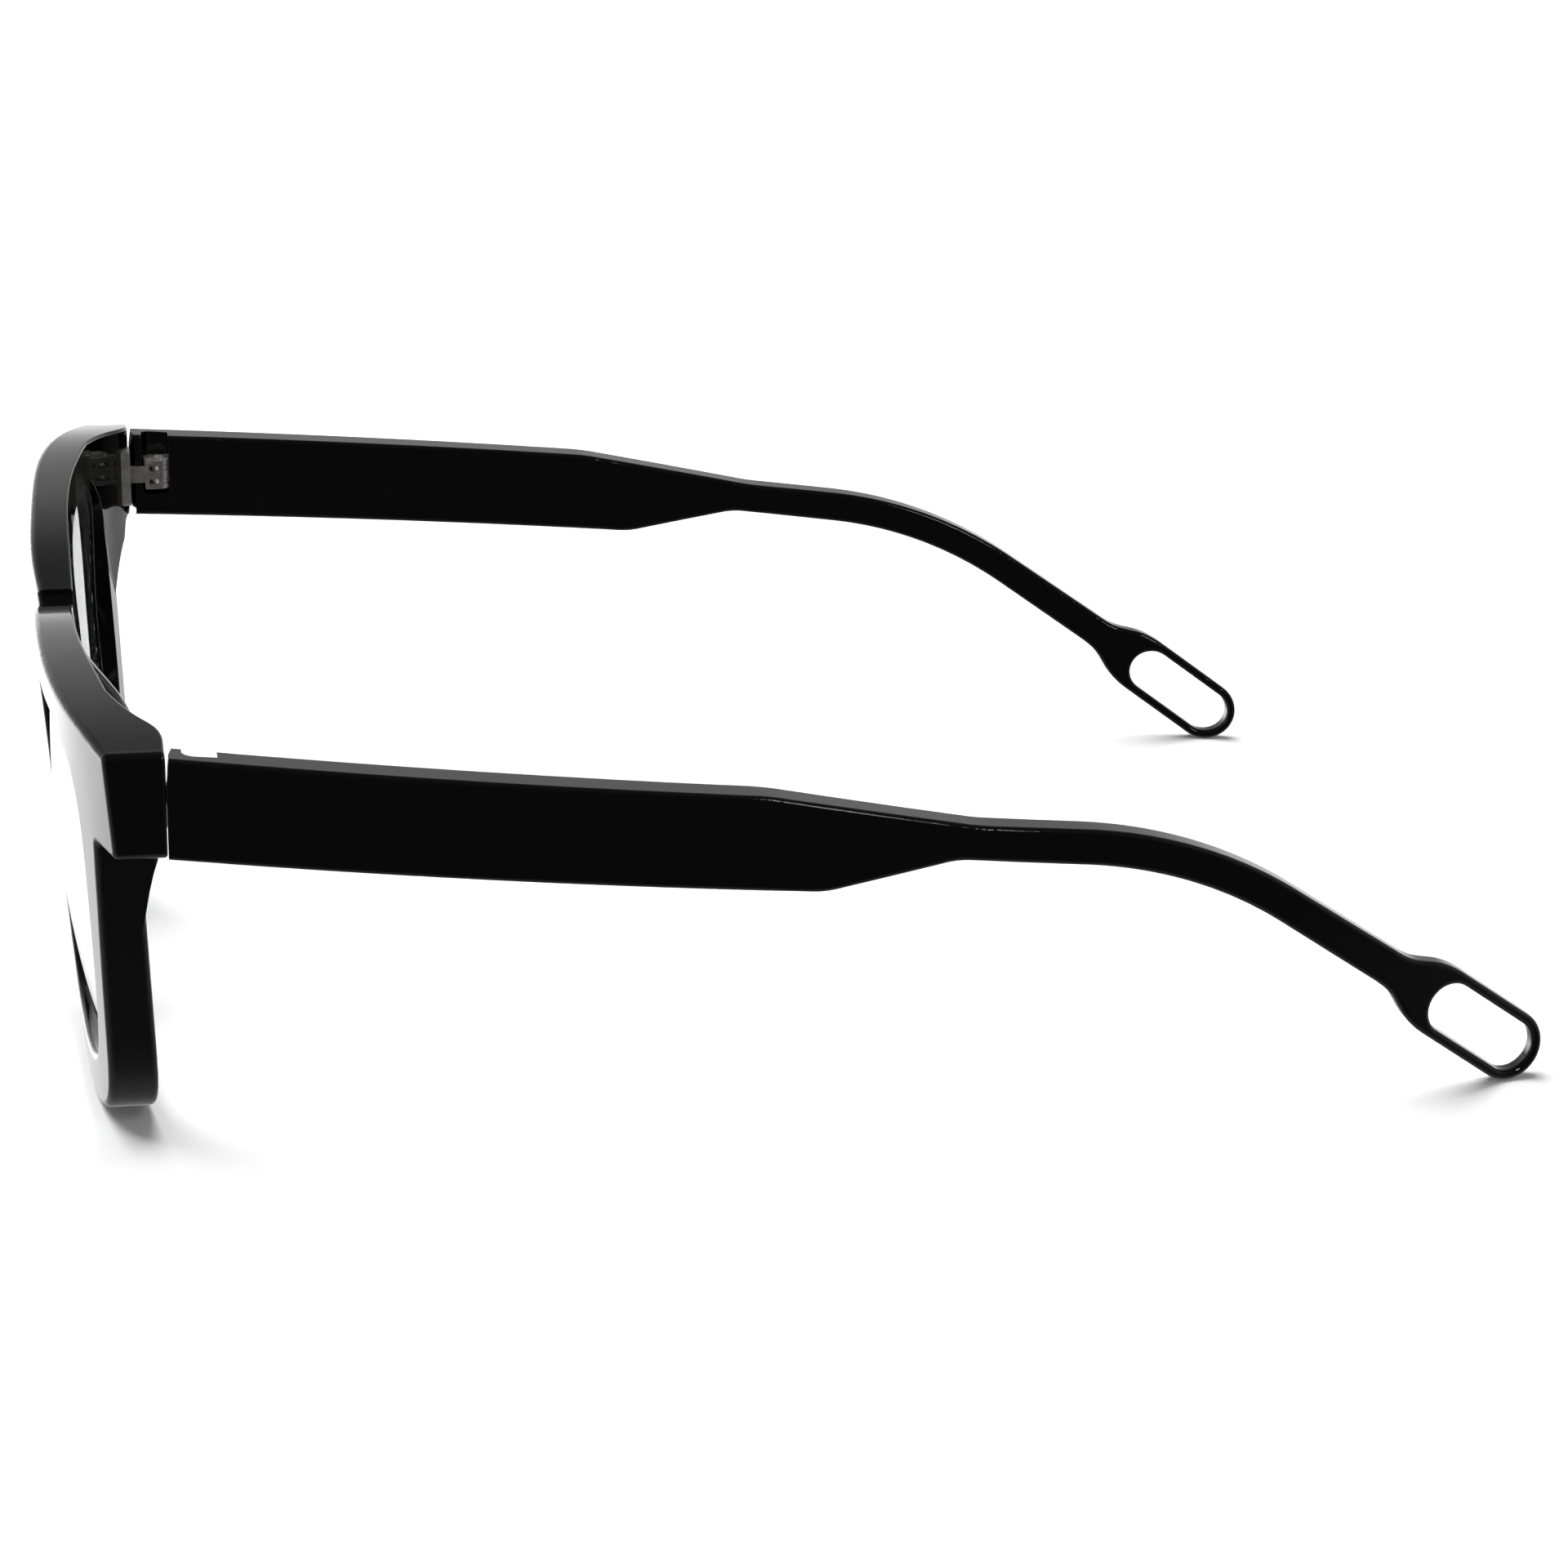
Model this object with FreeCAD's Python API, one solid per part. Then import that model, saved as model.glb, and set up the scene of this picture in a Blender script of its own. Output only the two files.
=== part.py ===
"""Eyeglasses: acetate front with two lenses, two folding temples on five-barrel hinges.

Millimetres. +X is the wearer's left, the front faces -Y, +Z is up. The glasses stand
on the lower rims and on the two temple loops, and the origin is on that surface, under
the middle of the whole object. Shapes are drawn with Y measured from the joint line,
where the temples meet the front, and are moved into place when they are written.
"""

import FreeCAD, Part
import math
import os

Vector = FreeCAD.Vector

# Overall placement
FRONT_FACE_Y = -11.83        # most forward point of the front, from the joint line
LOOP_END_Y = 139.5           # rear end of the temple loops, from the joint line
SHIFT_Y = -(FRONT_FACE_Y + LOOP_END_Y) / 2

# Front
ENDPIECE_X = 69.0            # outer side of the endpieces
ENDPIECE_TOP = 43.4
ENDPIECE_BOTTOM = 33.0
TILT = math.tan(math.radians(4.5))   # the lower rim lies behind the upper rim
TILT_Z = 44.0                # height at which the plan curves are drawn
NOTCH_HALF = 3.1             # notch in the top of the bridge
NOTCH_TOP = 40.35
NOTCH_FLOOR = 37.3
FRONT_EDGE_R = 0.75
OPENING_EDGE_R = 0.45
REAR_LOW_EDGE_R = 0.55
REAR_TOP_EDGE_R = 0.3

# Lenses
LENS_FRONT_R = 110.0         # spherical front surface
LENS_THICKNESS = 1.8
LENS_WRAP = 4.1              # degrees
LENS_CENTRE = Vector(35.6, -9.96, 22.9)
GROOVE_DEPTH = 0.6

# Temples
TEMPLE_THICK_FRONT = 4.2
TEMPLE_THICK_LOOP = 2.1
TEMPLE_EDGE_R = 0.5
JOINT_GAP_OUTER = 0.06
JOINT_GAP_TOP = 0.4          # the joint opens upwards, above the hinge
JOINT_GAP_INNER = 0.8
ARM_HALF = 1.85              # half height of the slim rear arm
LOOP_ANGLE = -36.1           # degrees, direction of the loop below the horizontal
LOOP_R = 3.72
LOOP_CENTRE = (LOOP_END_Y - LOOP_R, LOOP_R + 0.02)
SLOT_R = 2.67
SLOT_LENGTH = 8.6            # between the centres of the slot's round ends
CORE_HALF_HEIGHT = 0.7
CORE_HALF_THICK = 0.45

# Hinges
AXIS_X = 64.6
AXIS_Y = 3.7
HINGE_Z = 38.15
BARREL_R = 1.1
KNUCKLE_R = 1.05
OUTER_BARREL = 0.6
MIDDLE_BARREL = 1.0
SLOT = 0.65
KNUCKLE = 0.55
SCREW_R = 0.5
SCREW_CLEARANCE = 0.04
SCREW_HEAD_R = 0.8
HEAD_FRONT_Y = 2.0
POCKET_Y = (1.65, 4.95)
POCKET_BOTTOM = 35.4
POCKET_FLOOR_X = 67.6
LEAF_PLATE = 0.8


def box(x0, x1, y0, y1, z0, z1):
    return Part.makeBox(x1 - x0, y1 - y0, z1 - z0, Vector(x0, y0, z0))


def mirrored(shape):
    return shape.mirror(Vector(0, 0, 0), Vector(1, 0, 0))


def side(y, z):
    """A point of a side view, in the plane x = 0."""
    return Vector(0, y, z)


def facing(x, z):
    """A point of a front view, in the plane y = 0."""
    return Vector(x, 0, z)


def spline(points, start=None, end=None):
    curve = Part.BSplineCurve()
    if start and end:
        curve.interpolate(Points=points, InitialTangent=start, FinalTangent=end)
    else:
        curve.interpolate(points)
    return curve.toShape()


def closed_spline(points):
    curve = Part.BSplineCurve()
    curve.interpolate(Points=points, PeriodicFlag=True)
    return curve


def line(a, b):
    return Part.LineSegment(a, b).toShape()


def rounded_path(points, radii):
    """Straight runs through the points, with a tangent arc at each inner point."""
    edges = []
    last = points[0]
    for before, corner, after, radius in zip(points, points[1:], points[2:], radii):
        u = (before - corner).normalize()
        v = (after - corner).normalize()
        half = u.getAngle(v) / 2
        reach = radius / math.tan(half)
        middle = (u + v).normalize() * (radius / math.sin(half) - radius)
        a = corner + u * reach
        b = corner + v * reach
        edges.append(line(last, a))
        edges.append(Part.Arc(a, corner + middle, b).toShape())
        last = b
    edges.append(line(last, points[-1]))
    return edges


def face(edges):
    return Part.Face(Part.Wire(Part.sortEdges(edges)[0]))


# Front ---------------------------------------------------------------------------

def outline_half():
    """Edges of the front's outline on the wearer's left, from the notch to the arch."""
    notch_corner = facing(NOTCH_HALF, NOTCH_TOP)
    brow_end = facing(ENDPIECE_X - 1.2, ENDPIECE_TOP + 0.13)
    brow = spline([notch_corner, facing(8, 41.65), facing(13.5, 42.95), facing(20, 44.0),
                   facing(32, 45.0), facing(45, 45.3), facing(57, 44.8), brow_end])
    endpiece = rounded_path(
        [brow_end, facing(ENDPIECE_X, ENDPIECE_TOP), facing(ENDPIECE_X, ENDPIECE_BOTTOM),
         facing(62.9, ENDPIECE_BOTTOM + 0.15), facing(61.6, 27.5)], [0.9, 0.9, 0.9])
    temporal = spline([facing(61.6, 27.5), facing(60.0, 20.5), facing(57.9, 11.5),
                       facing(54.7, 3.6), facing(48.0, 0.47), facing(37.0, 0.15),
                       facing(25.5, 0.9), facing(17.6, 4.6), facing(13.2, 11.5),
                       facing(10.6, 19.5), facing(7.6, 25.6), facing(0, 28.6)],
                      start=Vector(-1.3, 0, -5.5), end=Vector(-7, 0, 0))
    return [brow] + endpiece + [temporal]


def front_outline():
    half = outline_half()
    notch = Part.Arc(facing(-NOTCH_HALF, NOTCH_TOP), facing(0, NOTCH_FLOOR),
                     facing(NOTCH_HALF, NOTCH_TOP)).toShape()
    return face([notch] + half + [mirrored(edge) for edge in half])


def grown(curve, distance):
    """A closed clockwise curve in a front view, moved outwards."""
    count = 40
    first = curve.FirstParameter
    last = curve.LastParameter
    points = []
    for i in range(count):
        parameter = first + (last - first) * i / count
        tangent = curve.tangent(parameter)[0]
        outward = Vector(-tangent.z, 0, tangent.x).normalize()
        points.append(curve.value(parameter) + outward * distance)
    return closed_spline(points)


def opening_outline(grow=0.0):
    """The lens opening on the wearer's left, as seen from the front."""
    points = [(17.6, 38.0), (24.0, 39.7), (33.0, 40.9), (43.0, 41.3), (51.5, 40.6),
              (56.2, 37.2), (57.2, 31.0), (55.9, 22.0), (53.7, 12.5), (50.2, 6.9),
              (43.5, 4.9), (34.5, 4.6), (26.0, 5.4), (19.8, 9.2), (16.4, 16.5),
              (14.4, 25.0), (14.0, 33.0)]
    curve = closed_spline([facing(x, z) for x, z in points])
    if grow:
        curve = grown(curve, grow)
    return Part.Face(Part.Wire([curve.toShape()]))


def rounded(solid, radius, keep):
    """Rounds the edges whose bounding box is kept."""
    return solid.makeFillet(radius, [e for e in solid.Edges if keep(e.BoundBox)])


def plan_strip(front, rear, z_low, z_high):
    """A wall that follows two plan curves and leans with the front's tilt."""
    foot = Vector(0, TILT * (TILT_Z - z_low), z_low)
    rise = z_high - z_low
    a = spline([Vector(x, y, 0) + foot for x, y in front])
    b = spline([Vector(x, y, 0) + foot for x, y in rear])
    ends = [line(a.Vertexes[i].Point, b.Vertexes[i].Point) for i in (0, 1)]
    return face([a, b] + ends).extrude(Vector(0, -TILT * rise, rise))


def both_sides(points):
    return [(-x, y) for x, y in reversed(points)] + points[1:]


FRONT_PLAN = both_sides([(0, -11.6), (9, -12.05), (22, -12.0), (36, -11.5), (48, -10.5),
                         (57, -9.0), (65, -7.0), (76, -3.5)])
REAR_PLAN = both_sides([(0, -7.9), (10, -7.8), (24, -7.6), (36, -6.9), (45, -5.9),
                        (54, -4.65), (64, -3.0), (76, -0.8)])


def shoulder():
    """Thickens the wearer's left endpiece, which carries the hinge, towards the joint."""
    plan = face([spline([Vector(45.5, -6.3, 0), Vector(53, -4.75, 0),
                         Vector(60, -1.95, 0), Vector(65.6, 0, 0)],
                        start=Vector(10, 1.1, 0), end=Vector(8, 0, 0)),
                 line(Vector(65.6, 0, 0), Vector(72, 0, 0)),
                 line(Vector(72, 0, 0), Vector(72, -3.6, 0)),
                 line(Vector(72, -3.6, 0), Vector(45.5, -6.3, 0))])
    block = plan.extrude(Vector(0, 0, 60))
    profile = face([line(side(-12, 60), side(0, 60)), line(side(0, 60), side(0, 32.6)),
                    spline([side(0, 32.6), side(-1.2, 29.5), side(-2.1, 25.0),
                            side(-4.2, 17.5)]),
                    line(side(-4.2, 17.5), side(-12, 17.5)),
                    line(side(-12, 17.5), side(-12, 60))])
    return block.common(profile.extrude(Vector(80, 0, 0)))


def front_blank():
    """The front without lens grooves and hinge seats."""
    left = shoulder()
    wall = plan_strip(FRONT_PLAN, REAR_PLAN, -3, 50).fuse([left, mirrored(left)])
    outline = front_outline().extrude(Vector(0, 40, 0))
    outline.translate(Vector(0, -22, 0))
    opening = opening_outline().extrude(Vector(0, 40, 0))
    opening.translate(Vector(0, -22, 0))
    return wall.common(outline).cut([opening, mirrored(opening)])


def spans(box, low, high):
    """Whether a bounding box lies within |x| < high and reaches past |x| = low."""
    reach = max(-box.XMin, box.XMax)
    return low < reach < high


def around_opening(box):
    """An edge of either lens opening, not the upright seam of its inner wall."""
    inner = min(abs(box.XMin), abs(box.XMax))
    return inner > 13 and spans(box, 50, 58) and 4 < box.ZMin and box.ZMax < 42


def rounded_front(blank):
    """The front with rounded outlines and lens openings."""
    forward = max(blank.Faces, key=lambda f: f.Area)
    outline = [e for e in forward.Edges if not around_opening(e.BoundBox)]
    solid = blank.makeFillet(FRONT_EDGE_R, outline)
    solid = rounded(solid, OPENING_EDGE_R,
                    lambda b: around_opening(b) and b.YMin < -11 and b.YMax < -6.5)
    solid = rounded(solid, REAR_LOW_EDGE_R,
                    lambda b: b.ZMax < 29 and b.YMin > -7.5 and b.XLength > 40)
    return rounded(solid, REAR_TOP_EDGE_R,
                   lambda b: b.ZMax > 43.7 and b.YMin > -8.2 and b.XLength > 10)


# Lenses --------------------------------------------------------------------------

def lens():
    """A meniscus lens whose edge sits in the rim's groove, on the wearer's left."""
    normal = Vector(math.sin(math.radians(LENS_WRAP)), -math.cos(math.radians(LENS_WRAP)),
                    -TILT).normalize()
    centre = LENS_CENTRE - normal * LENS_FRONT_R
    shell = Part.makeSphere(LENS_FRONT_R, centre).cut(
        Part.makeSphere(LENS_FRONT_R - LENS_THICKNESS, centre))
    blank = opening_outline(GROOVE_DEPTH).extrude(Vector(0, 40, 0))
    blank.translate(Vector(0, -22, 0))
    return blank.common(shell)


# Nose pads -----------------------------------------------------------------------

def nose_pad(blank):
    """A pad that grows out of the back of the nasal rim, on the wearer's left."""
    levels = [(34.6, 8.3, 1.2, -7.6), (31.5, 9.2, 1.8, -6.4), (28.4, 10.0, 2.1, -4.5),
              (25.0, 11.0, 2.2, -2.3), (20.5, 12.4, 2.2, -1.2), (16.5, 13.6, 2.1, -1.7),
              (12.5, 15.2, 1.8, -3.3), (10.0, 16.4, 1.2, -5.0)]
    wires = []
    for z, x, half_width, tip in levels:
        root = -8.8 + TILT * (TILT_Z - z)
        centre = Vector(x, (root + tip) / 2, z)
        reach = (tip - root) / 2
        major, minor = max(reach, half_width), min(reach, half_width)
        ellipse = Part.Ellipse(Vector(0, 0, 0), major, minor)
        edge = ellipse.toShape()
        if reach > half_width:
            edge.rotate(Vector(0, 0, 0), Vector(0, 0, 1), 90)
        edge.translate(centre)
        wires.append(Part.Wire([edge]))
    return Part.makeLoft(wires, True, False).cut(blank)


# Temples -------------------------------------------------------------------------

def temple_plan(outer_offset, inner_offset):
    """Plan curve of the bowed temple, between two offsets from its outer face."""
    def curve(at_front, at_middle, at_loop):
        bezier = Part.BezierCurve()
        bezier.setPoles([Vector(ENDPIECE_X - at_front, 0, 0),
                         Vector(79.0 - at_middle, LOOP_END_Y / 2, 0),
                         Vector(60.5 - at_loop, LOOP_END_Y, 0)])
        return bezier.toShape()
    outer = curve(*outer_offset)
    inner = curve(*inner_offset)
    ends = [line(outer.Vertexes[i].Point, inner.Vertexes[i].Point) for i in (0, 1)]
    return face([outer, inner] + ends).extrude(Vector(0, 0, 60))


def along_loop(s, w):
    """A point at distance s along the loop's axis and w across it."""
    angle = math.radians(LOOP_ANGLE)
    y, z = LOOP_CENTRE
    return side(y + s * math.cos(angle) - w * math.sin(angle),
                z + s * math.sin(angle) + w * math.cos(angle))


def temple_outline():
    """Side view: deep front part, slim rear arm that bends down, and the end loop."""
    neck = -18.2
    direction = along_loop(1, 0) - along_loop(0, 0)
    top = rounded_path([side(0, 42.93), side(56.6, 37.72), side(77.6, 33.42),
                        side(100.5, 30.85), along_loop(neck, ARM_HALF)], [28, 26, 50])
    bottom = rounded_path([side(0, 32.93), side(62.2, 27.75), side(75.4, 30.13),
                           side(99.8, 27.2), along_loop(neck, -ARM_HALF)], [9, 9, 46])
    flares = []
    for sign in (1, -1):
        flares.append(spline([along_loop(neck, sign * ARM_HALF),
                              along_loop(-15.6, sign * 2.15),
                              along_loop(-13.2, sign * 3.15),
                              along_loop(-9.8, sign * LOOP_R)], direction, direction))
    sides = [line(along_loop(-9.8, w), along_loop(0, w)) for w in (LOOP_R, -LOOP_R)]
    end = Part.Arc(along_loop(0, LOOP_R), along_loop(LOOP_R, 0),
                   along_loop(0, -LOOP_R)).toShape()
    front = line(side(0, 42.93), side(0, 32.93))
    return face(top + bottom + flares + sides + [end, front])


def loop_slot():
    ends = [Part.Arc(along_loop(s, SLOT_R), along_loop(s + bulge, 0),
                     along_loop(s, -SLOT_R)).toShape()
            for s, bulge in ((0, SLOT_R), (-SLOT_LENGTH, -SLOT_R))]
    sides = [line(along_loop(0, w), along_loop(-SLOT_LENGTH, w)) for w in (SLOT_R, -SLOT_R)]
    return face(ends + sides).extrude(Vector(100, 0, 0))


def joint_cutter():
    """Trims the temple's front end so that the joint opens towards the inner side."""
    inner_x = ENDPIECE_X - TEMPLE_THICK_FRONT
    corners = [Vector(ENDPIECE_X + 3, -5, 20), Vector(ENDPIECE_X + 3, JOINT_GAP_OUTER, 20),
               Vector(ENDPIECE_X, JOINT_GAP_OUTER, 20), Vector(inner_x, JOINT_GAP_INNER, 20),
               Vector(inner_x - 3, JOINT_GAP_INNER, 20), Vector(inner_x - 3, -5, 20)]
    edges = [line(a, b) for a, b in zip(corners, corners[1:] + corners[:1])]
    wedge = [side(-5, 40.2), side(JOINT_GAP_OUTER, 40.2), side(JOINT_GAP_TOP, 43.0),
             side(JOINT_GAP_TOP, 50), side(-5, 50)]
    above = [line(a, b) for a, b in zip(wedge, wedge[1:] + wedge[:1])]
    return face(edges).extrude(Vector(0, 0, 40)).fuse(face(above).extrude(Vector(100, 0, 0)))


def temple_blank():
    plan = temple_plan((0, 0, 0), (TEMPLE_THICK_FRONT, 4.35, TEMPLE_THICK_LOOP))
    solid = temple_outline().extrude(Vector(100, 0, 0)).common(plan)
    solid = solid.cut([loop_slot(), joint_cutter()])
    return rounded(solid, TEMPLE_EDGE_R,
                   lambda b: b.YMax > 1 and max(b.YLength, b.ZLength) > 1)


def temple_core():
    """The flat metal core inside the temple, from behind the hinge into the arm."""
    def ribbon(points, radii):
        path = rounded_path(points, radii)
        return Part.Wire(path)
    high = ribbon([side(12, 37.2 + CORE_HALF_HEIGHT), side(58, 32.9 + CORE_HALF_HEIGHT),
                   side(100.1, 29.0 + CORE_HALF_HEIGHT),
                   along_loop(-19, CORE_HALF_HEIGHT)], [60, 46])
    low = ribbon([side(12, 37.2 - CORE_HALF_HEIGHT), side(58, 32.9 - CORE_HALF_HEIGHT),
                  side(100.1, 29.0 - CORE_HALF_HEIGHT),
                  along_loop(-19, -CORE_HALF_HEIGHT)], [60, 46])
    ends = [line(side(12, 37.2 + CORE_HALF_HEIGHT), side(12, 37.2 - CORE_HALF_HEIGHT)),
            line(along_loop(-19, CORE_HALF_HEIGHT), along_loop(-19, -CORE_HALF_HEIGHT))]
    middle = (2.1, 2.2, 1.3)
    outer = [value - CORE_HALF_THICK for value in middle]
    inner = [value + CORE_HALF_THICK for value in middle]
    flat = face(high.Edges + low.Edges + ends).extrude(Vector(100, 0, 0))
    return flat.common(temple_plan(outer, inner))


# Hinges --------------------------------------------------------------------------

def upright(radius, z0, z1):
    return Part.makeCylinder(radius, z1 - z0, Vector(AXIS_X, AXIS_Y, z0))


def barrel_height():
    return 2 * OUTER_BARREL + MIDDLE_BARREL + 2 * SLOT


def slot_levels():
    """Lower face of each of the two slots between the front leaf's barrels."""
    low = HINGE_Z - barrel_height() / 2 + OUTER_BARREL
    return [low, low + SLOT + MIDDLE_BARREL]


def front_leaf():
    """Plate let into the endpiece, a neck, and three barrels."""
    low = HINGE_Z - barrel_height() / 2
    high = HINGE_Z + barrel_height() / 2
    plate = box(61.7, 64.8, -1.0, 0.15, 34.7, 41.6)
    plate = plate.makeFillet(0.5, [e for e in plate.Edges if e.Length < 1.2])
    neck = box(63.5, 64.75, 0, HEAD_FRONT_Y + 0.2, HINGE_Z - 0.9, HINGE_Z + 0.9)
    head = box(AXIS_X - BARREL_R, AXIS_X + BARREL_R, HEAD_FRONT_Y, AXIS_Y, low, high)
    leaf = plate.fuse([neck, head, upright(BARREL_R, low, high)]).removeSplitter()
    slots = [box(AXIS_X - 3, AXIS_X + 3, HEAD_FRONT_Y + 0.5, AXIS_Y + 3, z, z + SLOT)
             for z in slot_levels()]
    return leaf.cut(slots + [upright(SCREW_R, low - 1, high + 1)])


def temple_leaf():
    """Plate on the pocket's floor with an anchor behind it, and two barrels."""
    floor = POCKET_FLOOR_X
    inner = floor - LEAF_PLATE
    plate = box(inner, floor, POCKET_Y[0] + 0.2, POCKET_Y[1], 36.5, 39.8)
    anchor = box(inner, floor, POCKET_Y[1], 10.5, 36.6, 39.7)
    parts = [anchor]
    play = (SLOT - KNUCKLE) / 2
    for z in slot_levels():
        parts.append(upright(KNUCKLE_R, z + play, z + play + KNUCKLE))
        parts.append(box(AXIS_X, inner, AXIS_Y - KNUCKLE_R, AXIS_Y + KNUCKLE_R,
                         z + play, z + play + KNUCKLE))
    leaf = plate.fuse(parts).removeSplitter()
    return leaf.cut(upright(SCREW_R + SCREW_CLEARANCE, 30, 45))


def hinge_screw():
    """Domed slotted head above the top barrel, shank through all five barrels."""
    low = HINGE_Z - barrel_height() / 2
    high = HINGE_Z + barrel_height() / 2
    head_height = 0.55
    dome_r = (SCREW_HEAD_R ** 2 + head_height ** 2) / (2 * head_height)
    dome = Part.makeSphere(dome_r, Vector(AXIS_X, AXIS_Y, high + head_height - dome_r))
    head = dome.common(upright(SCREW_HEAD_R, high, high + 2))
    screw = upright(SCREW_R, low - 0.05, high).fuse(head).removeSplitter()
    slot = box(AXIS_X - 1, AXIS_X + 1, AXIS_Y - 0.11, AXIS_Y + 0.11,
               high + head_height - 0.25, high + 2)
    return screw.cut(slot)


def hinge_pocket():
    """Space in the temple's inner side, open at the top, where the barrels turn."""
    pocket = box(AXIS_X - 5, POCKET_FLOOR_X, POCKET_Y[0], POCKET_Y[1], POCKET_BOTTOM, 50)
    upright_corner = [e for e in pocket.Edges if e.BoundBox.ZLength > 5
                      and e.BoundBox.XMin > AXIS_X and e.BoundBox.YMax < POCKET_Y[0] + 0.1]
    pocket = pocket.makeFillet(1.3, upright_corner)
    bottom = [e for e in pocket.Edges
              if e.BoundBox.XLength > 5 and e.BoundBox.ZMax < POCKET_BOTTOM + 1]
    return pocket.makeFillet(0.5, bottom)


# Assembly ------------------------------------------------------------------------

def write(name, shape):
    solid = shape.copy()
    solid.translate(Vector(0, SHIFT_Y, 0))
    solid.exportStep("parts/" + name + ".step")


def main():
    os.makedirs("parts", exist_ok=True)
    blank = rounded_front(front_blank())
    left = {
        "lens": lens(),
        "nose_pad": nose_pad(blank),
        "temple_core": temple_core(),
        "front_leaf": front_leaf(),
        "temple_leaf": temple_leaf(),
        "hinge_screw": hinge_screw(),
    }
    left["temple"] = temple_blank().cut(
        [hinge_pocket(), left["temple_core"], left["temple_leaf"]])
    seats = [left["lens"], left["front_leaf"]]
    front = blank.cut(seats + [mirrored(seat) for seat in seats])
    write("front_frame", front)
    for name, shape in left.items():
        write("left_" + name, shape)
        write("right_" + name, mirrored(shape))


main()
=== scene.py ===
"""Black acetate eyeglasses with folding temples: materials, light and camera."""
import math

import bmesh
import bpy
from mathutils import Matrix, Vector

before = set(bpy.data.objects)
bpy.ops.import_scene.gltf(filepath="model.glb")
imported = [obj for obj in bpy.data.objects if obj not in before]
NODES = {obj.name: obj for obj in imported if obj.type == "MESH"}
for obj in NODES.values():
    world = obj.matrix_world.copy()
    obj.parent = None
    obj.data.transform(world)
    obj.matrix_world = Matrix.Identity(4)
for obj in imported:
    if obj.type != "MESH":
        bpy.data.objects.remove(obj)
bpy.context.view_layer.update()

MM = 0.001
BEVEL_SAMPLES = 6


# ---------------------------------------------------------------- node helpers

class Nodes:
    """Short calls for building a node tree."""

    def __init__(self, tree):
        self.tree = tree

    def add(self, kind, **settings):
        node = self.tree.nodes.new(kind)
        for key, value in settings.items():
            setattr(node, key, value)
        return node

    def feed(self, target, value):
        if isinstance(value, bpy.types.NodeSocket):
            self.tree.links.new(value, target)
        else:
            target.default_value = value

    def coords(self, per_metre=1000.0, stretch=(1.0, 1.0, 1.0)):
        """Object coordinates, in millimetres unless per_metre says otherwise."""
        mapping = self.add("ShaderNodeMapping")
        self.feed(mapping.inputs["Vector"], self.add("ShaderNodeTexCoord").outputs["Object"])
        mapping.inputs["Scale"].default_value = [per_metre * part for part in stretch]
        return mapping.outputs["Vector"]

    def noise(self, vector, scale, detail=3.0, roughness=0.55):
        node = self.add("ShaderNodeTexNoise")
        self.feed(node.inputs["Vector"], vector)
        node.inputs["Scale"].default_value = scale
        node.inputs["Detail"].default_value = detail
        node.inputs["Roughness"].default_value = roughness
        return node.outputs["Fac"]

    def spread(self, value, low, high, out_low=0.0, out_high=1.0):
        """Map low..high onto out_low..out_high and hold the ends."""
        node = self.add("ShaderNodeMapRange")
        self.feed(node.inputs["Value"], value)
        for name, number in (("From Min", low), ("From Max", high),
                             ("To Min", out_low), ("To Max", out_high)):
            node.inputs[name].default_value = number
        return node.outputs["Result"]

    def maths(self, operation, a, b):
        node = self.add("ShaderNodeMath", operation=operation)
        self.feed(node.inputs[0], a)
        self.feed(node.inputs[1], b)
        return node.outputs[0]

    def blend_colours(self, factor, a, b):
        node = self.add("ShaderNodeMix", data_type="RGBA")
        self.feed(node.inputs["Factor"], factor)
        self.feed(node.inputs["A"], a)
        self.feed(node.inputs["B"], b)
        return node.outputs["Result"]

    def bump(self, height, distance, strength, normal=None):
        node = self.add("ShaderNodeBump")
        node.inputs["Strength"].default_value = strength
        node.inputs["Distance"].default_value = distance
        self.feed(node.inputs["Height"], height)
        if normal is not None:
            self.feed(node.inputs["Normal"], normal)
        return node.outputs["Normal"]

    def soft_edges(self, radius):
        """A normal that rounds sharp edges in the shading only."""
        node = self.add("ShaderNodeBevel", samples=BEVEL_SAMPLES)
        node.inputs["Radius"].default_value = radius
        return node.outputs["Normal"]


def material(name):
    """A new material, the helper for its tree, and its shader."""
    made = bpy.data.materials.new(name)
    made.use_nodes = True
    tree = made.node_tree
    shader = tree.nodes["Principled BSDF"]
    return made, Nodes(tree), shader


# ---------------------------------------------------------------- materials

ACETATE_EDGE = 0.15 * MM
ACETATE_WEAR = 0.035         # roughness that handling adds at most
STEEL_EDGE = 0.08 * MM


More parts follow.
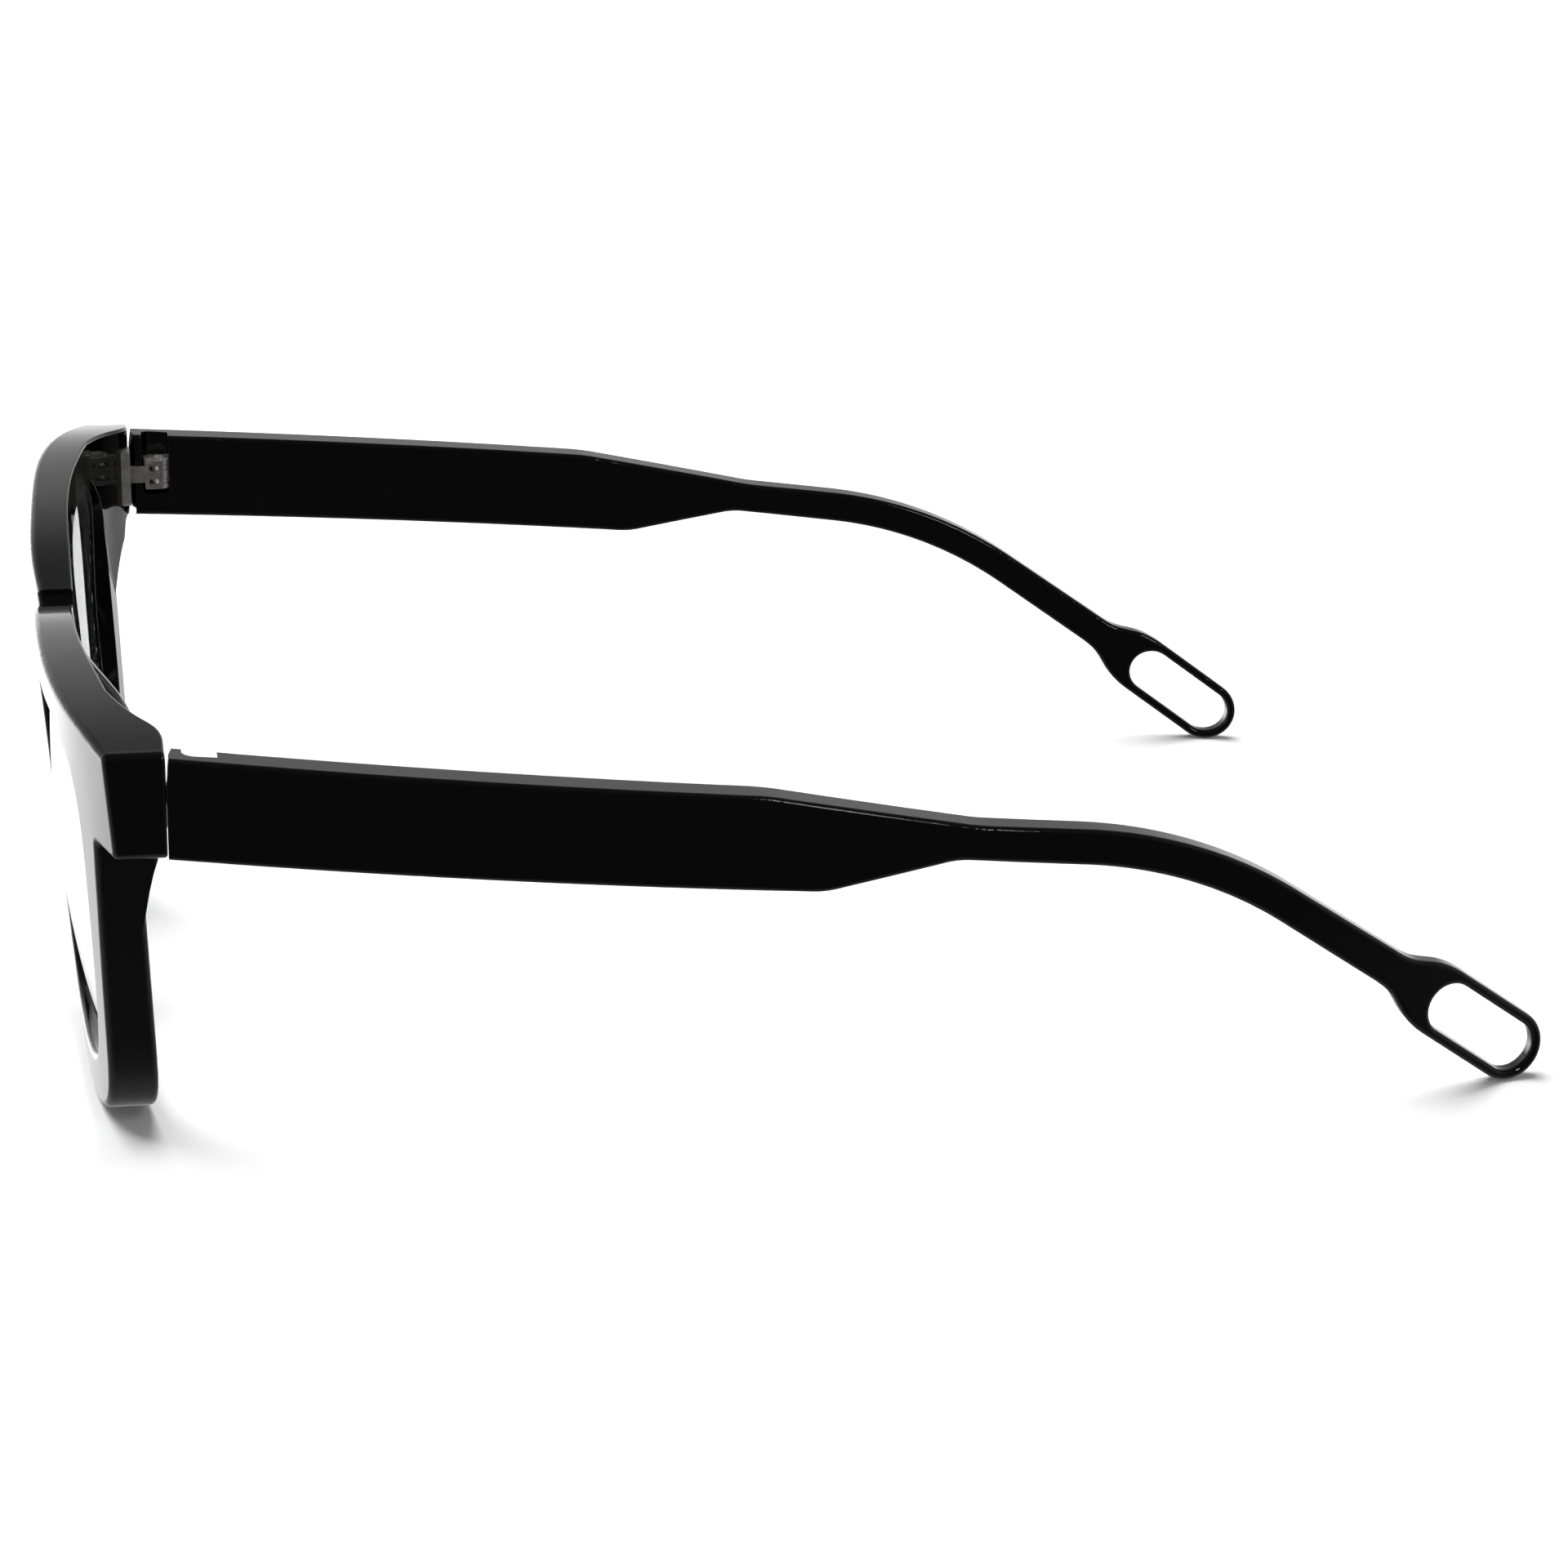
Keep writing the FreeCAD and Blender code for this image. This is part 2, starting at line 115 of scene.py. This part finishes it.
def acetate(name, tone, roughness, hairlines):
    """Tumble-polished cellulose acetate: near black, very faint clouds and hairlines."""
    made, n, shader = material(name)
    vector = n.coords()
    clouds = n.noise(vector, 0.09, 4.0, 0.6)
    fibres = n.noise(n.coords(stretch=(1.0, 0.08, 1.0)), 1.6, 3.0, 0.5)
    deep = (tone * 0.75, tone * 0.75, tone * 0.78, 1.0)
    pale = (tone * 1.5, tone * 1.48, tone * 1.5, 1.0)
    cloudy = n.spread(clouds, 0.3, 0.7)
    n.feed(shader.inputs["Base Color"], n.blend_colours(cloudy, deep, pale))
    wear = n.maths("MULTIPLY", n.spread(fibres, 0.35, 0.75), n.spread(clouds, 0.35, 0.65))
    worn = roughness + ACETATE_WEAR
    n.feed(shader.inputs["Roughness"], n.spread(wear, 0.0, 1.0, roughness, worn))
    soft = n.soft_edges(ACETATE_EDGE)
    ripple = n.bump(n.noise(vector, 0.22, 1.0, 0.4), 0.01 * MM, 0.35, soft)
    fine = n.bump(fibres, 0.002 * MM, hairlines, ripple)
    n.feed(shader.inputs["Normal"], fine)
    shader.inputs["IOR"].default_value = 1.49
    shader.inputs["Specular IOR Level"].default_value = 0.5
    return made


def lens_glass(name):
    """Clear demo lens with an anti-reflection coat that leaves a faint violet sheen."""
    made, n, shader = material(name)
    smear = n.noise(n.coords(stretch=(1.0, 1.0, 0.35)), 0.12, 3.0, 0.6)
    n.feed(shader.inputs["Roughness"], n.spread(smear, 0.3, 0.75, 0.0, 0.006))
    n.feed(shader.inputs["Base Color"],
           n.blend_colours(n.spread(smear, 0.3, 0.7), (0.965, 0.968, 0.985, 1.0),
                           (0.985, 0.988, 0.995, 1.0)))
    shader.inputs["Transmission Weight"].default_value = 1.0
    shader.inputs["IOR"].default_value = 1.5
    shader.inputs["Specular Tint"].default_value = (0.80, 0.78, 1.0, 1.0)
    return made


def steel(name, brush):
    """Nickel silver hinge metal, finely brushed, with faint stains."""
    made, n, shader = material(name)
    strokes = n.noise(n.coords(stretch=(1.0, 1.0, 14.0)), 2.2, 3.0, 0.6)
    stains = n.noise(n.coords(), 0.9, 4.0, 0.6)
    n.feed(shader.inputs["Base Color"],
           n.blend_colours(n.spread(stains, 0.3, 0.7), (0.42, 0.41, 0.395, 1.0),
                           (0.62, 0.61, 0.59, 1.0)))
    n.feed(shader.inputs["Roughness"], n.spread(strokes, 0.25, 0.8, 0.26, 0.42))
    soft = n.soft_edges(STEEL_EDGE)
    n.feed(shader.inputs["Normal"], n.bump(strokes, 0.01 * MM, brush, soft))
    shader.inputs["Metallic"].default_value = 0.8
    return made


BLACK = acetate("black_acetate", 0.0028, 0.035, 0.25)
LENS = lens_glass("clear_lens")
PAD = acetate("pad_acetate", 0.006, 0.11, 0.3)
STEEL = steel("hinge_steel", 0.35)
CORE = steel("core_wire", 0.2)

FINISH = {"front_frame": (BLACK, "black_acetate")}
for side in ("left", "right"):
    FINISH[side + "_temple"] = (BLACK, "black_acetate")
    FINISH[side + "_nose_pad"] = (PAD, "pad_acetate")
    FINISH[side + "_lens"] = (LENS, "clear_lens")
    FINISH[side + "_temple_core"] = (CORE, "core_wire")
    for piece in ("_front_leaf", "_temple_leaf", "_hinge_screw"):
        FINISH[side + piece] = (STEEL, "hinge_steel")

for node, (finish, slot_name) in FINISH.items():
    thing = NODES[node]
    thing.data.materials.clear()
    thing.data.materials.append(finish)
    # The lenses are clear, so they are left out of the shadows on the paper.
    thing.visible_shadow = finish is not LENS


# ---------------------------------------------------------------- stage

PAPER_RADIUS = 2.2
PAPER_TURN = 0.8             # radius of the curve between floor and wall
PAPER_HEIGHT = 2.2
PAPER_STEPS = 12
PAPER_SECTORS = 72
GLOW_NEAR, GLOW_FAR = 0.06, 1.0
GLOW_START, GLOW_END = 0.25, 0.9


def paper_bowl():
    """White paper: a round floor that curves up into a wall on every side.

    It glows more strongly away from the middle, and the object doesn't mirror it.
    """
    floor = PAPER_RADIUS - PAPER_TURN
    profile = [(floor, 0.0)]
    for i in range(1, PAPER_STEPS + 1):
        a = 0.5 * math.pi * i / PAPER_STEPS
        profile.append((floor + PAPER_TURN * math.sin(a), PAPER_TURN - PAPER_TURN * math.cos(a)))
    profile.append((PAPER_RADIUS, PAPER_HEIGHT))
    sectors = [2 * math.pi * k / PAPER_SECTORS for k in range(PAPER_SECTORS)]
    mesh = bpy.data.meshes.new("studio_paper")
    bowl = bmesh.new()
    centre = bowl.verts.new((0.0, 0.0, 0.0))
    rings = [[bowl.verts.new((r * math.cos(a), r * math.sin(a), z)) for a in sectors]
             for r, z in profile]
    for k in range(PAPER_SECTORS):
        after = (k + 1) % PAPER_SECTORS
        bowl.faces.new((centre, rings[0][k], rings[0][after]))
        for low, high in zip(rings, rings[1:]):
            bowl.faces.new((low[k], high[k], high[after], low[after]))
    for polygon in bowl.faces:
        polygon.smooth = True
    bowl.to_mesh(mesh)
    bowl.free()
    made = bpy.data.objects.new("studio_paper", mesh)
    bpy.context.scene.collection.objects.link(made)
    paper, n, shader = material("studio_paper")
    fibre = n.noise(n.coords(), 0.35, 3.0, 0.6)
    n.feed(shader.inputs["Base Color"],
           n.blend_colours(n.spread(fibre, 0.3, 0.7), (0.90, 0.90, 0.905, 1.0),
                           (0.92, 0.92, 0.92, 1.0)))
    shader.inputs["Roughness"].default_value = 0.9
    shader.inputs["Specular IOR Level"].default_value = 0.1
    shader.inputs["Emission Color"].default_value = (1.0, 1.0, 1.0, 1.0)
    distance = n.add("ShaderNodeVectorMath", operation="LENGTH")
    n.feed(distance.inputs[0], n.coords(per_metre=1.0))
    n.feed(shader.inputs["Emission Strength"],
           n.spread(distance.outputs["Value"], GLOW_START, GLOW_END, GLOW_NEAR, GLOW_FAR))
    mesh.materials.append(paper)
    made.visible_glossy = False
    made.visible_diffuse = False
    return made


def softbox(name, place, target, size, power, mirrored=True):
    """A rectangular studio light. Unless mirrored, it lights the paper but isn't reflected."""
    data = bpy.data.lights.new(name, "AREA")
    data.shape = "RECTANGLE"
    data.size, data.size_y = size
    data.energy = power
    made = bpy.data.objects.new(name, data)
    made.location = place
    aim = Vector(target) - Vector(place)
    made.rotation_euler = aim.to_track_quat("-Z", "Y").to_euler()
    made.visible_glossy = mirrored
    made.visible_transmission = False
    bpy.context.scene.collection.objects.link(made)
    return made


# The room's brightness by the direction looked in, a unit vector.
ROOM_DIM = 0.06              # everywhere
ROOM_SIDES = 0.3             # added except overhead and towards +X
ROOM_WHITE = 3.0             # at the brightest band on the -X side
ROOM_REAR = 0.27             # share of that white which is left towards +Y
# Height of the direction, and the share of the white there.
ROOM_BANDS = [(-0.6, 0.0), (-0.45, 0.05), (-0.32, 0.6), (-0.22, 1.0), (-0.02, 0.95),
              (0.12, 0.26), (0.30, 0.10), (0.50, 0.06), (0.70, 0.01), (0.8, 0.0)]


def surroundings():
    """The room that the gloss mirrors: white low down on the -X side, dim elsewhere."""
    world = bpy.data.worlds.new("studio")
    bpy.context.scene.world = world
    world.use_nodes = True
    n = Nodes(world.node_tree)
    split = n.add("ShaderNodeSeparateXYZ")
    n.feed(split.inputs[0], n.add("ShaderNodeTexCoord").outputs["Generated"])
    across, along, height = (split.outputs[axis] for axis in "XYZ")
    lowest, highest = ROOM_BANDS[0][0], ROOM_BANDS[-1][0]
    ramp = n.add("ShaderNodeValToRGB")
    n.feed(ramp.inputs["Fac"], n.spread(height, lowest, highest))
    ramp.color_ramp.interpolation = "B_SPLINE"
    bands = ramp.color_ramp.elements
    places = [(band - lowest) / (highest - lowest) for band, level in ROOM_BANDS]
    for place in places[1:-1]:
        bands.new(place)
    for element, place, (band, level) in zip(bands, places, ROOM_BANDS):
        element.position = place
        element.color = (level, level, level, 1.0)
    far_side = n.spread(across, -0.15, -0.50)
    forward = n.spread(along, 0.02, -0.3, ROOM_REAR, 1.0)
    white = n.maths("MULTIPLY", n.maths("MULTIPLY", far_side, forward), ramp.outputs["Color"])
    sides = n.maths("MULTIPLY", n.spread(across, 0.75, 0.25), n.spread(height, 0.85, 0.35))
    background = world.node_tree.nodes["Background"]
    background.inputs["Color"].default_value = (1.0, 1.0, 1.0, 1.0)
    n.feed(background.inputs["Strength"],
           n.maths("ADD", n.spread(white, 0.0, 1.0, ROOM_DIM, ROOM_WHITE),
                   n.maths("MULTIPLY", sides, ROOM_SIDES)))


paper_bowl()
softbox("paper_light", (-0.5, -0.35, 1.6), (0.0, 0.0, 0.0), (1.5, 1.5), 50.0, False)
softbox("strip_light", (0.75, 0.42, 0.68), (0.06, 0.03, 0.03), (0.10, 0.35), 1.0)
surroundings()

# ---------------------------------------------------------------- camera

# It stands on the object's +X side, about level with the front, and looks slightly down.
CAMERA_PLACE = Vector((461.13, -72.93, 164.86)) * MM
CAMERA_AZIMUTH = 80.202      # degrees about +Z from a camera that looks along +Y
CAMERA_TILT = 72.305         # degrees up from looking straight down
CAMERA_ROLL = 0.521          # degrees about the line of sight

camera_data = bpy.data.cameras.new("camera")
camera_data.lens = 100.15
camera_data.sensor_width = 36.0
camera_data.clip_start = 0.01
camera = bpy.data.objects.new("camera", camera_data)
turn = Matrix.Identity(4)
for degrees, axis in ((CAMERA_AZIMUTH, "Z"), (CAMERA_TILT, "X"), (CAMERA_ROLL, "Z")):
    turn = turn @ Matrix.Rotation(math.radians(degrees), 4, axis)
camera.matrix_world = Matrix.Translation(CAMERA_PLACE) @ turn
bpy.context.scene.collection.objects.link(camera)
bpy.context.scene.camera = camera
bpy.context.scene.view_settings.view_transform = "Standard"
